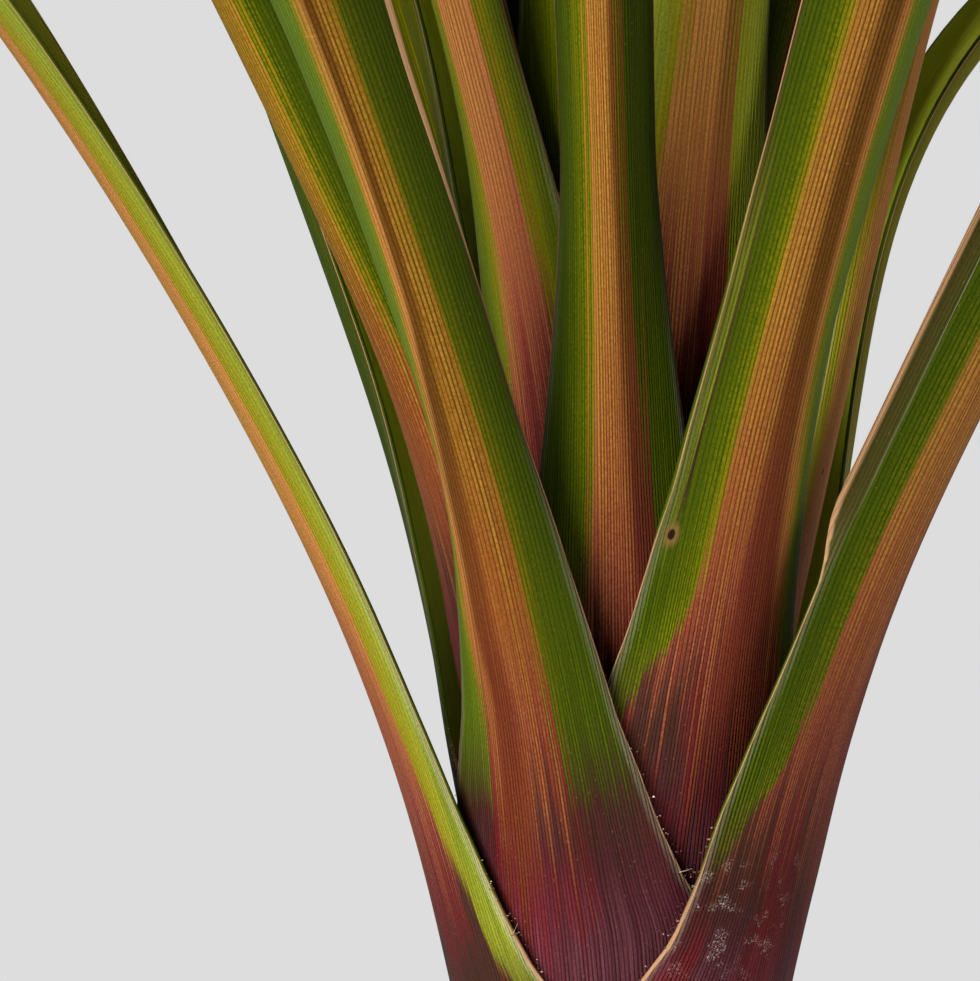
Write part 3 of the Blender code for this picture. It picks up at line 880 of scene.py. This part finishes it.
def blade(leaf, materials):
    """A grid bent to the leaf's inner face, then thickened outwards, more at the keel. The materials are
    those of the outer face, the inner face and the rim."""
    deselect()
    bpy.ops.mesh.primitive_grid_add(
        x_subdivisions=sizes().leaf_columns, y_subdivisions=sizes().leaf_rows, size=2
    )
    piece = bpy.context.object
    grid = point_values(piece.data)
    columns, column_of = np.unique(np.round(grid[:, 0], 5), return_inverse=True)
    rows, row_of = np.unique(np.round(grid[:, 1], 5), return_inverse=True)
    across = 1.2 * columns - 0.2 * columns**3
    share = 0.5 * (rows + 1)
    at = leaf.length * (0.55 * share + 0.45 * share**2)
    face, width = leaf.inner_face(at, across)
    flat = 0.5 * np.outer(np.sqrt(width * MEAN_WIDTH), across)
    crease = np.zeros((3, *flat.shape))
    hem = HEMS.get(leaf.number)
    if hem:
        folded = fold_margin(face, at, across, hem)
        beyond = hem.side * across - hem.share
        widened = folded * hem.extra * np.clip(beyond / (1 - hem.share), 0, 1)
        flat += hem.side * widened
        crease[0] = (0.5 * np.outer(width, beyond) + widened) / MM
        crease[1 if hem.turn < 0 else 2] = folded
    corners = (row_of.ravel(), column_of.ravel())
    set_points(piece.data, face[corners])
    side = across[corners[1]]
    along = at[corners[0]]
    add_attribute(piece.data, "place", (flat[corners] / MM, along / MM, side))
    add_attribute(piece.data, "hem", [values[corners] for values in crease])
    colour_mesh(piece.data, leaf.number, along, 0.5 * width[corners[0]], leaf.length)

    thickness = leaf.thickness(along, side)
    most = float(thickness.max())
    group = piece.vertex_groups.new(name="thickness")
    for i, value in enumerate(thickness):
        group.add([i], float(value) / most, "REPLACE")
    for material in materials:
        piece.data.materials.append(material)
    wall = piece.modifiers.new("wall", "SOLIDIFY")
    wall.thickness = most
    wall.offset = -1.0
    wall.vertex_group = "thickness"
    wall.thickness_vertex_group = 0.0
    wall.material_offset = 1
    wall.material_offset_rim = 2
    apply_modifiers(piece)
    piece.vertex_groups.clear()
    piece.data.shade_smooth()
    return piece


def tint_of(number):
    """The listed tint, or one drawn with the leaf's number as its seed."""
    if number in TINTS:
        return TINTS[number]
    draw = random.Random(TINT_SEED + number)
    return Tint(**{name: draw.uniform(*limits) for name, limits in TINT_LIMITS.items()})


def midrib_edge(value, along):
    """The share at distances along the leaf, from one number or from (millimetres, share) points."""
    return curve_through(value, along / MM) if isinstance(value, tuple) else value


def mark_of(marks, number):
    """The listed mark, or one drawn in the far half of the leaf."""
    draw = random.Random(MARK_SEED + number)
    drawn = (draw.uniform(-0.8, 0.8), draw.uniform(220, 420), draw.uniform(0.3, 0.8))
    return marks.get(number, drawn)


def colour_mesh(mesh, number, along, half_width, length):
    """Writes the values that the leaf materials read, beside those of place and hem."""
    tint = tint_of(number)
    edges = (midrib_edge(tint.left, along), midrib_edge(tint.right, along))
    add_attribute(mesh, "midrib", (tint.flush, *edges))
    add_attribute(mesh, "shade", (tint.core, tint.pink, tint.pale))
    add_attribute(mesh, "growth", (number, length / MM, half_width / MM))
    # Bloom sets the painted blue-green sheen on a flank and the rosy edge of the midrib.
    add_attribute(mesh, "dust_and_sheen", (tint.climb, tint.dusty, tint.bloom))
    # Inside and light are painted light, and the last value is painted shade.
    add_attribute(mesh, "light", (tint.inside, tint.light, tint.dusk))
    add_attribute(mesh, "edge", (tint.edge, 0, 0))
    add_attribute(mesh, "pit", mark_of(PITS, number))
    add_attribute(mesh, "scar", mark_of(SCARS, number))


class CABBAGETREE_OT_leaves(bpy.types.Operator):
    """Model the crown's leaves, each as its own piece"""

    bl_idname = "cabbage_tree.leaves"
    bl_label = "Leaves"

    def execute(self, context):
        materials = (outer_leaf_material(), inner_leaf_material(), rim_material())
        for number in range(1, LEAF_COUNT + 1):
            leaf = Leaf(number, sizes().trunk_radius)
            piece = blade(leaf, materials)
            seated(piece, f"blade_{number:02d}", f"leaf_{number:02d}")
        return {"FINISHED"}


# Spear, with its radii in millimetres at shares of its height

SPEAR_SEED = 50
SPEAR_RADII = ((0.0, 4.0), (0.08, 4.6), (0.30, 4.0), (0.65, 2.6), (1.0, 0.6))
SPEAR_LAPS = 2.5
SPEAR_LAP_DEPTH = 0.16

# The spear is coloured as this stretch of such a leaf, in millimetres
SPEAR_FROM = 120
SPEAR_SPAN = 200
SPEAR_HALF_WIDTH = 12
SPEAR_LEAF_LENGTH = 340


class CABBAGETREE_OT_spear(bpy.types.Operator):
    """Model the rolled youngest leaves at the crown's centre"""

    bl_idname = "cabbage_tree.spear"
    bl_label = "Spear"

    def execute(self, context):
        low, high = box_of("spear")
        tall = high.z - low.z
        profile = [
            (float(curve_through(SPEAR_RADII, share)) * MM, low.z + share * tall)
            for share in np.linspace(0, 1, 60)
        ]
        piece = close_ends(lathe(profile, 32))
        points = point_values(piece.data)
        turn = np.arctan2(points[:, 1], points[:, 0])
        share = (points[:, 2] - low.z) / tall
        lap = (turn / (2 * math.pi) + SPEAR_LAPS * share) % 1.0
        points[:, :2] *= (1 - SPEAR_LAP_DEPTH + SPEAR_LAP_DEPTH * lap)[:, None]
        set_points(piece.data, points)
        round_shading(piece, 50)
        along = share * SPEAR_SPAN + SPEAR_FROM
        add_attribute(piece.data, "place", (turn * 4.0, along, 0.5 + 0.45 * lap))
        colour_mesh(
            piece.data, SPEAR_SEED, along * MM, SPEAR_HALF_WIDTH * MM, SPEAR_LEAF_LENGTH * MM
        )
        seated(piece, "rolled_spear", "spear", (outer_leaf_material(),))
        return {"FINISHED"}


# Trunk, with the depths of its scars and bark as shares of its radius

SCAR_COUNT = 16
SCAR_DEPTH = 0.050
BARK_DEPTH = 0.018
SCAR_DROP = 1.6 * MM
SCAR_THICKNESS = 1.2 * MM
RING_STEP = 0.55 * MM
BURIED = 4 * MM


def bark_material():
    """Corky rings with pale ridges and dark cracks."""
    tint = colours()
    shader = Shader("scarred bark")
    place = shader.place()
    cloud = shader.noise(place, 60.0, 4.0)
    stretched = shader.node("ShaderNodeMapping", (), {"Vector": place, "Scale": (260.0, 260.0, 40.0)})
    grain = shader.noise(stretched, 1.0, 4.0, 0.65)
    base = shader.mix(shader.step(cloud, 0.35, 0.65), tint.bark, tint.dry)
    base = shader.brighter(base, 0.45 + grain * 0.9)
    return shader.finish(
        Base_Color=base,
        Roughness=0.82,
        Normal=shader.bump(grain + cloud * 0.5, 0.5 * MM, 0.8),
    )


class CABBAGETREE_OT_trunk(bpy.types.Operator):
    """Model the trunk, ringed by the scars of fallen leaves"""

    bl_idname = "cabbage_tree.trunk"
    bl_label = "Trunk"

    def execute(self, context):
        radius = sizes().trunk_radius
        low, high = box_of("trunk")
        soil_top = box_of("soil")[1].z
        first_leaf = box_of("leaf_01")[0].z
        bare = np.arange(soil_top - BURIED, first_leaf, RING_STEP)
        profile = [(radius, low.z)] + [(radius, z) for z in bare]
        for number in range(1, LEAF_COUNT + 1, 3):
            profile.append((trunk_taper(number, radius), box_of(f"leaf_{number:02d}")[0].z))
        profile.append((TRUNK_APEX_RADIUS, high.z))
        piece = close_ends(lathe(profile, 96))
        points = point_values(piece.data)
        turn = np.degrees(np.arctan2(points[:, 0], -points[:, 1]))
        seen = (points[:, 2] > soil_top - BURIED) & (points[:, 2] < first_leaf - 0.5 * MM)
        depth = np.zeros(len(points))
        for above in range(-SCAR_COUNT, 0):
            centre = FIRST_AZIMUTH + GOLDEN_ANGLE * above
            away = np.abs((turn - centre + 180) % 360 - 180)
            drop = SCAR_DROP * (1 - np.cos(np.radians(away)))
            height = first_leaf + sizes().scar_pitch * above + drop
            gap = (points[:, 2] - height) / SCAR_THICKNESS
            depth = np.maximum(depth, np.exp(-(gap**2)) * (1 - rise(away, 110, 150)))
        rough = np.array([noise.noise(Vector(p) * 260) for p in points])
        points[:, :2] *= (1 - seen * (SCAR_DEPTH * depth + BARK_DEPTH * (0.5 + rough)))[:, None]
        set_points(piece.data, points)
        round_shading(piece, 60)
        seated(piece, "scarred_trunk", "trunk", (bark_material(),))
        return {"FINISHED"}


# Soil

SOIL_MOUND = 4 * MM
SOIL_BUMPS = 1.1 * MM
SOIL_HOLE_DEPTH = 30 * MM
CRUMB_COUNT = 900
PERLITE_COUNT = 150
SOIL_SEED = 7


def soil_material():
    tint = colours()
    shader = Shader("potting soil")
    place = shader.place()
    coarse = shader.noise(place, 90.0, 5.0, 0.7)
    fine = shader.noise(place, 700.0, 3.0, 0.7)
    base = shader.brighter(shader.mix(coarse, tint.earth, tint.bark), 0.25 + fine * 0.7)
    return shader.finish(
        Base_Color=base, Roughness=0.95, Normal=shader.bump(coarse + fine * 0.4, 1.2 * MM, 1.0)
    )


def grit_material():
    tint = colours()
    shader = Shader("pale grit")
    rough = shader.noise(shader.place(), 900.0, 3.0)
    base = shader.mix(shader.step(rough, 0.46, 0.66), tint.bark, tint.dust)
    return shader.finish(Base_Color=base, Roughness=0.9, Normal=shader.bump(rough, 0.2 * MM, 0.8))


def grain_material():
    shader = Shader("perlite")
    rough = shader.noise(shader.place(), 900.0, 3.0)
    base = shader.brighter(colours().perlite, 0.7 + rough * 0.4)
    return shader.finish(Base_Color=base, Roughness=0.9, Normal=shader.bump(rough, 0.3 * MM, 0.8))


def strewn(draw, count, low, high, spread, surface):
    """Sizes and places of lumps that are sunk by half into the soil."""
    lumps = []
    for _ in range(count):
        size = draw.uniform(low, high)
        away = spread * math.sqrt(draw.uniform(0.09, 1.0))
        turn = draw.uniform(0, 2 * math.pi)
        lumps.append((size, (away * math.cos(turn), away * math.sin(turn), surface(away))))
    return lumps


def crumbs(draw, lumps, name, material):
    """Small rough lumps of given sizes and places, as one piece."""
    deselect()
    bpy.ops.mesh.primitive_ico_sphere_add(subdivisions=2, radius=1.0)
    model = bpy.context.object
    ball = point_values(model.data)
    faces = [tuple(polygon.vertices) for polygon in model.data.polygons]
    points, joined = [], []
    for size, centre in lumps:
        seed = Vector((draw.uniform(0, 50), draw.uniform(0, 50), 0))
        bulge = np.array([0.75 + 0.5 * noise.noise(Vector(p) * 1.3 + seed) for p in ball])
        stretch = np.array([draw.uniform(0.7, 1.3), draw.uniform(0.7, 1.3), draw.uniform(0.5, 0.9)])
        start = len(points) * len(ball)
        points.append(ball * bulge[:, None] * stretch * size + centre)
        joined += [tuple(start + i for i in face) for face in faces]
    model.data = bpy.data.meshes.new(name)
    model.data.from_pydata(np.concatenate(points).tolist(), [], joined)
    model.data.shade_smooth()
    return seated(model, name, None, (material,))


class CABBAGETREE_OT_soil(bpy.types.Operator):
    """Model the soil's rough surface, its crumbs and its white grains"""

    bl_idname = "cabbage_tree.soil"
    bl_label = "Soil"

    def execute(self, context):
        low, high = box_of("soil")
        wide = high.x - 0.4 * MM
        rim = high.z - SOIL_MOUND
        hole = sizes().trunk_radius + 0.1 * MM
        foot = 0.78 * wide

        def surface(away):
            return rim + SOIL_MOUND * (1 - (away / wide) ** 2) - 1.0 * MM

        rings = np.linspace(wide, hole, 46)
        profile = [(foot, low.z), (wide * 0.985, rim - 6 * MM)]
        profile += [(away, surface(away)) for away in rings]
        profile += [(hole, rim - SOIL_HOLE_DEPTH)]
        piece = close_ends(lathe(profile, 160))
        points = point_values(piece.data)
        away = np.hypot(points[:, 0], points[:, 1])
        top = (points[:, 2] > rim - 5 * MM) & (away < wide - 0.1 * MM)
        bumps = np.array([noise.fractal(Vector(p) * 90, 0.8, 2.0, 4) for p in points])
        points[:, 2] += top * bumps * SOIL_BUMPS
        set_points(piece.data, points)
        round_shading(piece, 80)
        seated(piece, "potting_soil", "soil", (soil_material(),))

        draw = random.Random(SOIL_SEED)
        spread = wide - 3 * MM
        small = sizes().crumb_size
        lumps = strewn(draw, CRUMB_COUNT, 0.3 * small, small, spread, surface)
        crumbs(draw, lumps, "soil_crumbs", soil_material())
        grains = strewn(draw, PERLITE_COUNT, 0.3 * small, 0.75 * small, spread, surface)
        crumbs(draw, grains, "perlite_grains", grain_material())
        return {"FINISHED"}


# Grit and fibres caught at the sheaths' margins

GRITTY_LEAVES = range(1, 13)
GRIT_PER_MARGIN = 40
GRIT_SEED = 11
FIBRE_RADIUS = 0.09 * MM
FIBRE_LENGTHS = (1.6, 2.8)

# Lowest, highest and likeliest: metres along the leaf, and millimetres past its margin and in radius
GRIT_ALONG = (0.014, 0.052, 0.030)
GRIT_PAST_MARGIN = (-0.3, 2.2, 0.2)
GRIT_RADII = (0.06, 0.34, 0.10)

# Metres along each leaf at which a fibre starts
FIBRE_PLACES = {1: (0.026, 0.034, 0.041), 2: (0.036,), 4: (0.030,), 7: (0.036, 0.044)}


def beside_margin(leaf, at, side, beyond):
    """A point just beyond a leaf's margin, on the sheath behind, with the ways aside and out."""
    face, _ = leaf.inner_face(np.array([at]), np.array([0.9 * side, side]))
    near, edge = (Vector(point) for point in face[0])
    aside = (edge - near).normalized()
    out = Vector((edge.x, edge.y, 0)).normalized()
    return edge + aside * beyond, aside, out


def fibre_material():
    tint = colours()
    shader = Shader("dry fibre")
    rough = shader.noise(shader.place(), 2500.0, 2.0)
    return shader.finish(Base_Color=shader.mix(rough, tint.dry, tint.dust), Roughness=0.8)


def fibre(start, way, curl, length, radius, sides=5, rings=7):
    """Points and faces of a thin tapered tube that curls away from its start."""
    points, faces = [], []
    for ring in range(rings):
        share = ring / (rings - 1)
        centre = start + way * length * share + curl * length * share * share
        along = (way + 2 * share * curl).normalized()
        first = along.orthogonal().normalized()
        second = along.cross(first)
        for i in range(sides):
            turn = 2 * math.pi * i / sides
            reach = radius * (1 - 0.8 * share)
            points.append(centre + reach * (math.cos(turn) * first + math.sin(turn) * second))
    for ring in range(rings - 1):
        for i in range(sides):
            a, b = ring * sides + i, ring * sides + (i + 1) % sides
            faces.append((a, b, b + sides, a + sides))
    faces.append(tuple(reversed(range(sides))))
    faces.append(tuple(range((rings - 1) * sides, rings * sides)))
    return points, faces


class CABBAGETREE_OT_debris(bpy.types.Operator):
    """Model the grit and the dry fibres caught at the sheaths' margins"""

    bl_idname = "cabbage_tree.debris"
    bl_label = "Grit and Fibres"

    def execute(self, context):
        draw = random.Random(GRIT_SEED)
        lumps, points, faces = [], [], []
        for number in GRITTY_LEAVES:
            leaf = Leaf(number, sizes().trunk_radius)
            for side in (-1, 1):
                for _ in range(GRIT_PER_MARGIN):
                    at = draw.triangular(*GRIT_ALONG)
                    beyond = draw.triangular(*GRIT_PAST_MARGIN) * MM
                    centre, _, out = beside_margin(leaf, at, side, beyond)
                    size = draw.triangular(*GRIT_RADII) * MM
                    lumps.append((size, centre - out * draw.uniform(0.1, 0.5) * MM))
            for at in FIBRE_PLACES.get(number, ()):
                start, aside, out = beside_margin(leaf, at, 1, -0.4 * MM)
                way = aside + out * draw.uniform(0.2, 0.8)
                way = (way + Vector((0, 0, draw.uniform(0.0, 0.9)))).normalized()
                curl = Vector((draw.uniform(-0.3, 0.3), 0, draw.uniform(-0.5, 0.4)))
                tube, quads = fibre(start, way, curl, draw.uniform(*FIBRE_LENGTHS) * MM, FIBRE_RADIUS)
                faces += [tuple(len(points) + i for i in face) for face in quads]
                points += tube
        crumbs(draw, lumps[::2], "sheath_grit", soil_material())
        crumbs(draw, lumps[1::2], "pale_sheath_grit", grit_material())
        mesh = bpy.data.meshes.new("sheath_fibres")
        mesh.from_pydata(points, [], faces)
        mesh.shade_smooth()
        piece = linked("sheath_fibres", mesh)
        seated(piece, "sheath_fibres", None, (fibre_material(),))
        return {"FINISHED"}


# Pot

POT_FOOT = 78 * MM
POT_NECK = 104 * MM
POT_COLLAR = 34 * MM
POT_WALL = 7 * MM
POT_FLOOR = 12 * MM
POT_FLOOR_RADIUS = 60 * MM
DRAIN_COUNT = 4
DRAIN_RADIUS = 6 * MM
DRAIN_CIRCLE = 40 * MM


def clay_material():
    """Fired clay with a lime bloom, finger rings and small pits."""
    tint = colours()
    shader = Shader("fired clay")
    place = shader.place()
    height = shader.node("ShaderNodeSeparateXYZ", (), {0: place}, 2)
    cloud = shader.noise(place, 14.0, 5.0, 0.6)
    fine = shader.noise(place, 420.0, 4.0, 0.65)
    rings = shader.noise(shader.vector(0.0, 0.0, height * 420.0), 1.0, 3.0)
    bloom = shader.step(cloud + (fine - 0.5) * 0.3, 0.50, 0.72) * 0.55
    damp = shader.step(cloud + height * 1.4, 0.70, 0.42) * 0.35
    base = shader.mix(bloom, tint.clay, tint.lime)
    base = shader.mix(damp, base, tint.earth)
    base = shader.brighter(base, 0.84 + fine * 0.22 + rings * 0.08)
    return shader.finish(
        Base_Color=base,
        Roughness=0.80 + fine * 0.12,
        Normal=shader.bump(fine * 0.6 + rings * 0.5, 0.35 * MM, 0.7),
    )


class CABBAGETREE_OT_pot(bpy.types.Operator):
    """Model the clay pot with its rolled rim and drain holes"""

    bl_idname = "cabbage_tree.pot"
    bl_label = "Pot"

    def execute(self, context):
        high = box_of("pot")[1]
        seated(finished_pot(high.x, high.z), "clay_pot", "pot", (clay_material(),))
        return {"FINISHED"}


def beside(radius, height, *offsets):
    """Profile points at (outwards, upwards) millimetres from one place."""
    return [(radius + outwards * MM, height + upwards * MM) for outwards, upwards in offsets]


def finished_pot(rim, tall):
    """The pot with its rim's radius and its height: a turned wall, drilled and bevelled."""
    collar = tall - POT_COLLAR
    low = POT_FOOT - 0.5 * POT_WALL
    high = rim - 1.4 * POT_WALL
    share = 1 - 5 * MM / (tall - POT_FLOOR)
    profile = (
        (POT_FLOOR_RADIUS, 0.0),
        *beside(POT_FOOT, 0.0, (-2.5, 0.0), (-0.8, 0.6), (0.0, 2.5)),
        (0.5 * (POT_FOOT + POT_NECK), 0.5 * collar),
        *beside(POT_NECK, collar, (-0.4, -3.0), (0.6, -0.4)),
        *beside(rim, collar, (-4.5, 0.0), (-2.6, 0.8), (-1.8, 3.0)),
        *beside(rim, tall, (-0.2, -5.0), (-0.6, -2.4), (-2.4, -0.6), (-5.0, 0.0)),
        *beside(high, tall, (1.6, -0.6), (0.0, -4.0)),
        (low + (high - low) * share, tall - 9 * MM),
        (low, POT_FLOOR + 1 * MM),
        (POT_FLOOR_RADIUS, POT_FLOOR),
    )
    pot = close_ends(lathe(profile, 128))
    for i in range(DRAIN_COUNT):
        turn = 2 * math.pi * (i + 0.5) / DRAIN_COUNT
        place = (DRAIN_CIRCLE * math.cos(turn), DRAIN_CIRCLE * math.sin(turn), 0.5 * POT_FLOOR)
        deselect()
        bpy.ops.mesh.primitive_cylinder_add(
            vertices=32, radius=DRAIN_RADIUS, depth=4 * POT_FLOOR, location=place
        )
        drill = bpy.context.object
        hole = pot.modifiers.new("drain", "BOOLEAN")
        hole.operation = "DIFFERENCE"
        hole.object = drill
        apply_modifiers(pot)
        bpy.data.objects.remove(drill, do_unlink=True)
    edges = pot.modifiers.new("edges", "BEVEL")
    edges.width = 0.6 * MM
    edges.segments = 2
    edges.limit_method = "ANGLE"
    edges.angle_limit = math.radians(50)
    apply_modifiers(pot)
    round_shading(pot)
    return pot


# Stage

CAMERA_PLACE = (-0.0208, -0.700, 0.3455)
CAMERA_LENS = 167.1
SENSOR = 36.0
FLOOR_RADIUS = 1.9
BACKDROP = linear(221, 221, 221)
LIGHT_IN_FRONT = 0.12
LIGHT_BEHIND = 0.45
CROWN = (0.0, 0.0, 0.38)
LAMPS = (
    ("key", (-1.9, -2.9, 2.3), 1.6, 300.0, (1.0, 0.98, 0.95)),
    ("fill", (2.9, -2.0, 0.9), 2.2, 40.0),
    ("back", (0.7, 3.4, 2.7), 2.6, 60.0),
)


def floor_material():
    shader = Shader("pale floor")
    grain = shader.noise(shader.place(), 300.0, 3.0)
    base = shader.brighter(colours().stage, 0.97 + grain * 0.05)
    return shader.finish(Base_Color=base, Roughness=0.8)


def studio_world():
    """The backdrop's colour for the camera, and a weaker light from it that is weakest in front."""
    studio = Shader("studio", "worlds", "Background")
    way = studio.node("ShaderNodeTexCoord")
    depth = studio.node("ShaderNodeSeparateXYZ", (), {0: way}, 1)
    weak = studio.node("ShaderNodeMapRange", (), {0: depth, 1: -1.0, 3: LIGHT_IN_FRONT, 4: LIGHT_BEHIND})
    seen = studio.node("ShaderNodeLightPath")
    strength = studio.node("ShaderNodeMix", (), {0: seen, 2: weak, 3: 1.0})
    return studio.finish(Color=(*BACKDROP, 1.0), Strength=strength)


def area_light(name, place, size, power, colour=(1.0, 1.0, 1.0)):
    lamp = bpy.data.lights.new(name, "AREA")
    lamp.shape = "DISK"
    lamp.size = size
    lamp.energy = power
    lamp.color = colour
    item = linked(name, lamp)
    item.location = place
    item.rotation_euler = (Vector(CROWN) - Vector(place)).to_track_quat("-Z", "Y").to_euler()
    item.visible_camera = False


class CABBAGETREE_OT_stage(bpy.types.Operator):
    """Add the floor, the backdrop's colour, soft studio lights and the camera"""

    bl_idname = "cabbage_tree.stage"
    bl_label = "Stage"

    def execute(self, context):
        deselect()
        bpy.ops.mesh.primitive_circle_add(vertices=128, radius=FLOOR_RADIUS, fill_type="NGON")
        floor = context.object
        floor.name = "floor"
        floor.data.materials.append(floor_material())
        context.scene.world = studio_world()
        for lamp in LAMPS:
            area_light(*lamp)

        lens = bpy.data.cameras.new("camera")
        lens.lens = CAMERA_LENS
        lens.sensor_width = SENSOR
        lens.clip_start = 0.02
        camera = linked("camera", lens)
        camera.location = CAMERA_PLACE
        camera.rotation_euler = (math.pi / 2, 0, 0)
        context.scene.camera = camera
        context.scene.view_settings.view_transform = "Standard"
        return {"FINISHED"}


class CABBAGETREE_PT_panel(bpy.types.Panel):
    """Lists the pieces to model, with their sizes and colours"""

    bl_idname = "CABBAGETREE_PT_panel"
    bl_label = "Cabbage Tree"
    bl_space_type = "VIEW_3D"
    bl_region_type = "UI"
    bl_category = "Cabbage Tree"

    def draw(self, context):
        layout = self.layout
        for operator in OPERATORS:
            layout.operator(operator.bl_idname)
        for group in (sizes(), colours()):
            box = layout.box()
            for name in group.__annotations__:
                box.prop(group, name)


OPERATORS = (
    CABBAGETREE_OT_stage,
    CABBAGETREE_OT_leaves,
    CABBAGETREE_OT_spear,
    CABBAGETREE_OT_trunk,
    CABBAGETREE_OT_soil,
    CABBAGETREE_OT_debris,
    CABBAGETREE_OT_pot,
)
CLASSES = (CabbageTreeSizes, CabbageTreeColours, *OPERATORS, CABBAGETREE_PT_panel)


def register():
    for item in CLASSES:
        bpy.utils.register_class(item)
    bpy.types.Scene.cabbage_tree_sizes = PointerProperty(type=CabbageTreeSizes)
    bpy.types.Scene.cabbage_tree_colours = PointerProperty(type=CabbageTreeColours)


def unregister():
    del bpy.types.Scene.cabbage_tree_colours
    del bpy.types.Scene.cabbage_tree_sizes
    for item in reversed(CLASSES):
        bpy.utils.unregister_class(item)


def main():
    register()
    bpy.ops.cabbage_tree.stage()
    bpy.ops.cabbage_tree.leaves()
    bpy.ops.cabbage_tree.spear()
    bpy.ops.cabbage_tree.trunk()
    bpy.ops.cabbage_tree.soil()
    bpy.ops.cabbage_tree.debris()
    bpy.ops.cabbage_tree.pot()


if __name__ == "__main__":
    main()
